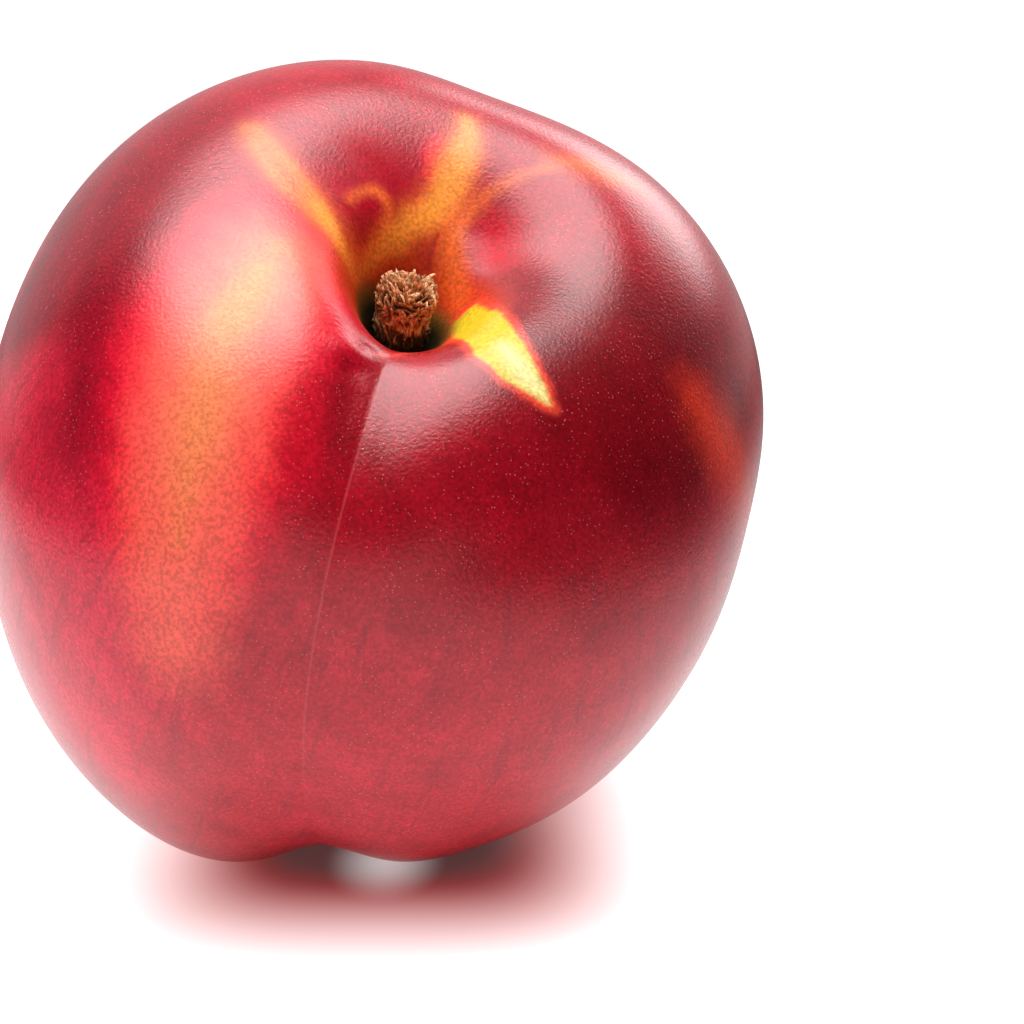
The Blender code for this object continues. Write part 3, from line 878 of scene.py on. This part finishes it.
def make_stage():
    """White surface that glows but for a painted shadow under the fruit, tinted with painted red bounce light and with
    a painted patch of light under the gap between the lobes, and a dimmer backdrop that only reflections see.
    """
    flat = Matrix.Identity(4)
    upright = Matrix.Rotation(math.pi / 2, 4, "X")
    look = Shading("white_surface")
    stage_plane("white_floor", (5.0, 5.0), (0.0, 0.0, -0.00002), flat, look.material)
    where = look.nodes.new("ShaderNodeNewGeometry").outputs["Position"]
    moved = look.vector("SUBTRACT", where, SHADE_CENTRE)
    scaled = look.vector("DIVIDE", moved, SHADE_SHAPE)
    squared = look.vector("MULTIPLY", scaled, scaled)
    reach = look.math("SQRT", look.length(squared))
    # Painted shadow: the glow fades out toward the fruit, red less than green and blue, which leaves painted red bounce
    # light in the shade
    red = look.ramp(reach, SHADE_RED[0], SHADE_RED[1], SHADE_LOWEST[0])
    other = look.ramp(reach, SHADE_OTHER[0], SHADE_OTHER[1], SHADE_LOWEST[1])
    glow = look.nodes.new("ShaderNodeCombineColor")
    look.links.new(red, glow.inputs["Red"])
    look.links.new(other, glow.inputs["Green"])
    look.links.new(other, glow.inputs["Blue"])
    # Painted patch of light under the gap between the lower lobes
    gap = look.vector("DIVIDE", look.vector("SUBTRACT", where, GAP_LIGHT_CENTRE), GAP_LIGHT_SHAPE)
    lit = look.ramp(look.length(gap), 1.0, 0.0, 0.0, GAP_LIGHT)
    color = look.mix(1.0, glow.outputs["Color"], lit, "ADD")
    look.links.new(color, look.shader.inputs["Emission Color"])
    out = look.vector("DIVIDE", look.vector("SUBTRACT", where, FLOOR_BRIGHT_CENTRE), FLOOR_BRIGHT_SHAPE)
    far = look.ramp(look.length(out), FLOOR_NEAR, FLOOR_FAR)
    seen = look.nodes.new("ShaderNodeLightPath").outputs["Is Camera Ray"]
    unseen = look.math("MULTIPLY", look.math("SUBTRACT", 1.0, far), FLOOR_GLOW)
    strength = look.math("MAXIMUM", unseen, look.math("MULTIPLY", seen, FLOOR_GLOW_SEEN))
    look.links.new(strength, look.shader.inputs["Emission Strength"])
    white = (FLOOR_WHITE, FLOOR_WHITE, FLOOR_WHITE, 1.0)
    look.links.new(look.mix(far, white, (0.03, 0.03, 0.03, 1.0)), look.shader.inputs["Base Color"])
    look.shader.inputs["Roughness"].default_value = FLOOR_GLOSS
    look = Shading("backdrop_glow")
    look.shader.inputs["Base Color"].default_value = (0.0, 0.0, 0.0, 1.0)
    look.shader.inputs["Specular IOR Level"].default_value = 0.0
    look.shader.inputs["Emission Color"].default_value = (1.0, 1.0, 1.0, 1.0)
    look.shader.inputs["Emission Strength"].default_value = BACKDROP_GLOW
    backdrop = stage_plane("white_backdrop", (1.6, 0.9), (0.0, 0.5, 0.45), upright, look.material)
    backdrop.visible_camera = False


def softbox(name, place, aim, turn, width, height, edge, radiance):
    """Glowing panel with a soft edge at a place, facing the point that it aims at."""
    look = Shading(name)
    panel = stage_plane(name, (2.0, 2.0), (0.0, 0.0, 0.0), Matrix.Identity(4), look.material)
    where = look.vector("MULTIPLY", look.place(), (1.0, 1.0, 0.0))
    reach = look.math("SQRT", look.length(look.vector("MULTIPLY", where, where)))
    look.links.new(look.ramp(reach, 1.0, edge, 0.0, radiance), look.shader.inputs["Emission Strength"])
    look.shader.inputs["Emission Color"].default_value = (1.0, 1.0, 1.0, 1.0)
    look.shader.inputs["Base Color"].default_value = (0.0, 0.0, 0.0, 1.0)
    look.shader.inputs["Specular IOR Level"].default_value = 0.0
    facing = (place - aim).to_track_quat("Z", "Y").to_matrix().to_4x4()
    size = Matrix.Diagonal((width, height, 1.0, 1.0))
    panel.matrix_world = Matrix.Translation(place) @ facing @ Matrix.Rotation(turn, 4, "Z") @ size
    panel.visible_camera = False


def make_light(centre):
    """Studio light: a big softbox overhead, a panel behind on the right and a dim one in front."""
    above = centre + Vector((OVERHEAD_OFFSET[0], OVERHEAD_OFFSET[1], OVERHEAD_HEIGHT))
    below = Vector((above.x, above.y, 0.0))
    width, length = OVERHEAD_HALF
    softbox("overhead", above, below, OVERHEAD_TURN, width, length, OVERHEAD_EDGE, OVERHEAD_RADIANCE)
    for name, azimuth, elevation, distance, width, height, edge, radiance in PANELS:
        level = math.cos(math.radians(elevation))
        aside = math.sin(math.radians(azimuth)) * level
        ahead = -math.cos(math.radians(azimuth)) * level
        away = Vector((aside, ahead, math.sin(math.radians(elevation))))
        softbox(name, centre + away * distance, centre, 0.0, width, height, edge, radiance)
    world = bpy.data.worlds.new("studio")
    bpy.context.scene.world = world
    world.use_nodes = True
    nodes = world.node_tree.nodes
    links = world.node_tree.links
    background = nodes["Background"]
    path = nodes.new("ShaderNodeLightPath")
    level = nodes.new("ShaderNodeMapRange")
    level.inputs["To Min"].default_value = ROOM
    level.inputs["To Max"].default_value = 1.0
    links.new(path.outputs["Is Camera Ray"], level.inputs["Value"])
    links.new(level.outputs["Result"], background.inputs["Strength"])
    background.inputs["Color"].default_value = (1.0, 1.0, 1.0, 1.0)


def make_camera(centre):
    """Camera in front of the fruit, a little above it."""
    aside = (CENTRE_ACROSS - PICTURE / 2) / FOCAL_PIXELS * DISTANCE
    above = (PICTURE / 2 - CENTRE_DOWN) / FOCAL_PIXELS * DISTANCE
    right = Vector((1.0, 0.0, 0.0))
    ahead = Vector((0.0, math.cos(HEIGHT_ANGLE), -math.sin(HEIGHT_ANGLE)))
    up = Vector((0.0, math.sin(HEIGHT_ANGLE), math.cos(HEIGHT_ANGLE)))
    data = bpy.data.cameras.new("camera")
    data.sensor_width = 36.0
    data.lens = 36.0 * FOCAL_PIXELS / PICTURE
    camera = bpy.data.objects.new("camera", data)
    camera.location = centre - right * aside - up * above - ahead * DISTANCE
    camera.rotation_euler = Euler((math.pi / 2 - HEIGHT_ANGLE, 0.0, 0.0))
    bpy.context.scene.collection.objects.link(camera)
    bpy.context.scene.camera = camera


fruit_frame = make_fruit()
stub_frame = fruit_frame @ Matrix.Translation(STUB_BASE) @ Matrix.Rotation(STUB_LEAN, 4, "Y")
make_stub(stub_frame)
make_stage()
make_light(fruit_frame.translation)
make_camera(fruit_frame.translation)
bpy.context.scene.view_settings.view_transform = "Standard"
